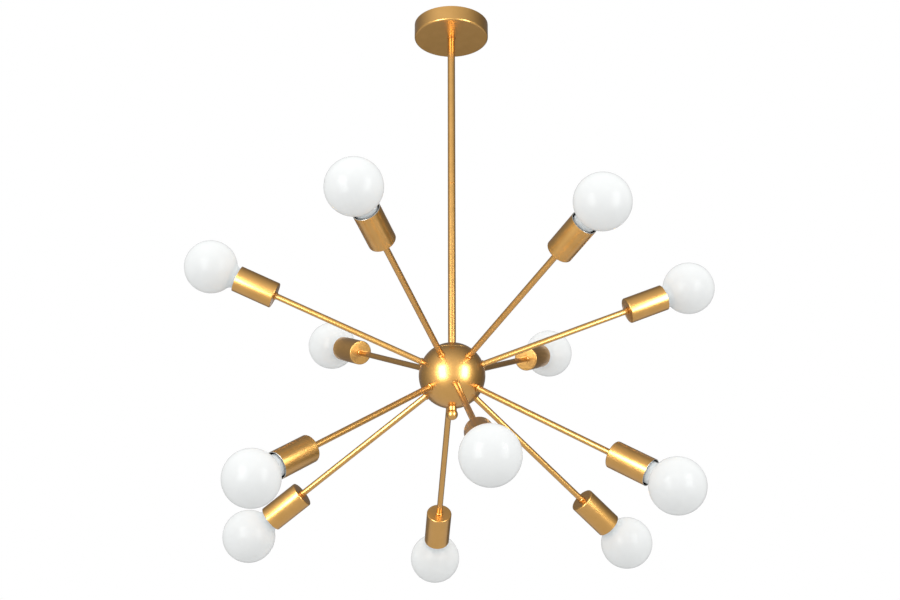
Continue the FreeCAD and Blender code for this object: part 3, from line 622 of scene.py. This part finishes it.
def make_lamp(name, place, width, height, power):
    """Soft area lamp that faces the hub and doesn't show itself to the camera."""
    data = bpy.data.lights.new(name, "AREA")
    data.shape = "RECTANGLE"
    data.size = width
    data.size_y = height
    data.energy = power
    lamp = bpy.data.objects.new(name, data)
    bpy.context.scene.collection.objects.link(lamp)
    lamp.location = HUB_CENTRE + place
    lamp.rotation_euler = (-place).to_track_quat("-Z", "Y").to_euler()
    lamp.visible_camera = False
    return lamp


def make_lamps():
    """Two strip lamps that the gold and the glass mirror, and a soft fill from above for the rest."""
    for name, place in (("lamp_left", LAMP_LEFT), ("lamp_right", LAMP_RIGHT)):
        make_lamp(name, place, LAMP_WIDTH, LAMP_HEIGHT, LAMP_POWER).visible_diffuse = False
    make_lamp("fill", FILL_PLACE, FILL_SIZE, FILL_SIZE, FILL_POWER).visible_glossy = False


def make_world():
    """White to the camera. Metal and glass see a studio, brightest behind the camera and on the left."""
    world = bpy.data.worlds.new("studio")
    bpy.context.scene.world = world
    world.use_nodes = True
    world.cycles.sampling_method = "NONE"
    tree = world.node_tree
    tree.nodes.clear()
    output = add(tree, "ShaderNodeOutputWorld")
    path = add(tree, "ShaderNodeLightPath")
    split = add(tree, "ShaderNodeSeparateXYZ")
    tree.links.new(add(tree, "ShaderNodeTexCoord").outputs["Generated"], split.inputs["Vector"])
    studio = add(tree, "ShaderNodeBackground")
    ambient = add(tree, "ShaderNodeBackground")
    white = add(tree, "ShaderNodeBackground")
    for background in (studio, ambient, white):
        background.inputs["Color"].default_value = (1, 1, 1, 1)
    ramp = add(tree, "ShaderNodeValToRGB")
    tree.links.new(between(tree, split.outputs["Y"], 0, 1, -1, 1), ramp.inputs["Fac"])
    stops = ramp.color_ramp.elements
    while len(stops) < len(STUDIO_LEVELS):
        stops.new(0.5)
    for stop, (place, level) in zip(stops, STUDIO_LEVELS):
        stop.position = place
        stop.color = (level, level, level, 1)
    side = add(tree, "ShaderNodeMath", operation="MULTIPLY")
    tree.links.new(ramp.outputs["Color"], side.inputs[0])
    tree.links.new(between(tree, split.outputs["X"], *STUDIO_SIDES, -1, 1), side.inputs[1])
    tree.links.new(side.outputs["Value"], studio.inputs["Strength"])
    tree.links.new(between(tree, split.outputs["Y"], *AMBIENT_LEVELS, -1, 1), ambient.inputs["Strength"])
    seen = add(tree, "ShaderNodeMath", operation="MAXIMUM")
    tree.links.new(path.outputs["Is Glossy Ray"], seen.inputs[0])
    tree.links.new(path.outputs["Is Transmission Ray"], seen.inputs[1])
    first = add(tree, "ShaderNodeMixShader")
    tree.links.new(seen.outputs["Value"], first.inputs["Fac"])
    tree.links.new(ambient.outputs["Background"], first.inputs[1])
    tree.links.new(studio.outputs["Background"], first.inputs[2])
    second = add(tree, "ShaderNodeMixShader")
    tree.links.new(path.outputs["Is Camera Ray"], second.inputs["Fac"])
    tree.links.new(first.outputs["Shader"], second.inputs[1])
    tree.links.new(white.outputs["Background"], second.inputs[2])
    tree.links.new(second.outputs["Shader"], output.inputs["Surface"])


def make_floor():
    """Pale floor that keeps the shadow, fades into the white around it and is open from below."""
    half = FLOOR_SIZE / 2
    mesh = bpy.data.meshes.new("floor")
    corners = [(-half, -half, 0), (half, -half, 0), (half, half, 0), (-half, half, 0)]
    mesh.from_pydata(corners, [], [(0, 1, 2, 3)])
    floor = bpy.data.objects.new("floor", mesh)
    bpy.context.scene.collection.objects.link(floor)
    floor.location = (0, 0, -FLOOR_DROP)
    material, tree, shader = new_material("floor")
    set_inputs(shader, Roughness=0.9)
    shader.inputs["Base Color"].default_value = (0.66, 0.66, 0.66, 1)
    glow = add(tree, "ShaderNodeEmission")
    mix = add(tree, "ShaderNodeMixShader")
    glow.inputs["Color"].default_value = (1, 1, 1, 1)
    reach = add(tree, "ShaderNodeVectorMath", operation="LENGTH")
    tree.links.new(place_of(tree), reach.inputs[0])
    share = add(tree, "ShaderNodeMath", operation="MULTIPLY")
    tree.links.new(add(tree, "ShaderNodeLightPath").outputs["Is Camera Ray"], share.inputs[0])
    tree.links.new(between(tree, reach.outputs["Value"], *FLOOR_GLOW, *FLOOR_FADE), share.inputs[1])
    tree.links.new(share.outputs["Value"], mix.inputs["Fac"])
    tree.links.new(shader.outputs["BSDF"], mix.inputs[1])
    tree.links.new(glow.outputs["Emission"], mix.inputs[2])
    sides = add(tree, "ShaderNodeMixShader")
    tree.links.new(add(tree, "ShaderNodeNewGeometry").outputs["Backfacing"], sides.inputs["Fac"])
    tree.links.new(mix.outputs["Shader"], sides.inputs[1])
    tree.links.new(add(tree, "ShaderNodeBsdfTransparent").outputs["BSDF"], sides.inputs[2])
    tree.links.new(sides.outputs["Shader"], tree.nodes["Material Output"].inputs["Surface"])
    mesh.materials.append(material)


def make_camera():
    """The photograph's view: from the front and below, looking up."""
    data = bpy.data.cameras.new("camera")
    data.sensor_fit = "HORIZONTAL"
    data.sensor_width = SENSOR_WIDTH
    data.lens = CAMERA_FOCUS * SENSOR_WIDTH / PHOTO_WIDTH
    camera = bpy.data.objects.new("camera", data)
    bpy.context.scene.collection.objects.link(camera)
    ahead = Vector((
        math.sin(CAMERA_YAW) * math.cos(CAMERA_PITCH),
        math.cos(CAMERA_YAW) * math.cos(CAMERA_PITCH),
        math.sin(CAMERA_PITCH),
    ))
    level = Vector((math.cos(CAMERA_YAW), -math.sin(CAMERA_YAW), 0))
    above = level.cross(ahead)
    right = math.cos(CAMERA_ROLL) * level + math.sin(CAMERA_ROLL) * above
    up = math.cos(CAMERA_ROLL) * above - math.sin(CAMERA_ROLL) * level
    turn = Matrix((right, up, -ahead)).transposed().to_4x4()
    back = Vector((0, -math.cos(CAMERA_BELOW), -math.sin(CAMERA_BELOW))) * CAMERA_DISTANCE
    camera.matrix_world = Matrix.Translation(HUB_CENTRE + back) @ turn
    bpy.context.scene.camera = camera


# ---------------------------------------------------------------- the whole scene

bpy.context.scene.view_settings.view_transform = "Standard"
make_camera()
make_lamps()
make_world()
make_floor()
dress_nodes()
for arm in ARMS:
    make_globe(arm)
    make_base(arm)
    make_bulb_end(arm)
    make_cup(arm)
    make_screw_shell(arm)
make_nipple()
make_crossbar_nuts()
make_earth_screw()

bpy.context.view_layer.update()
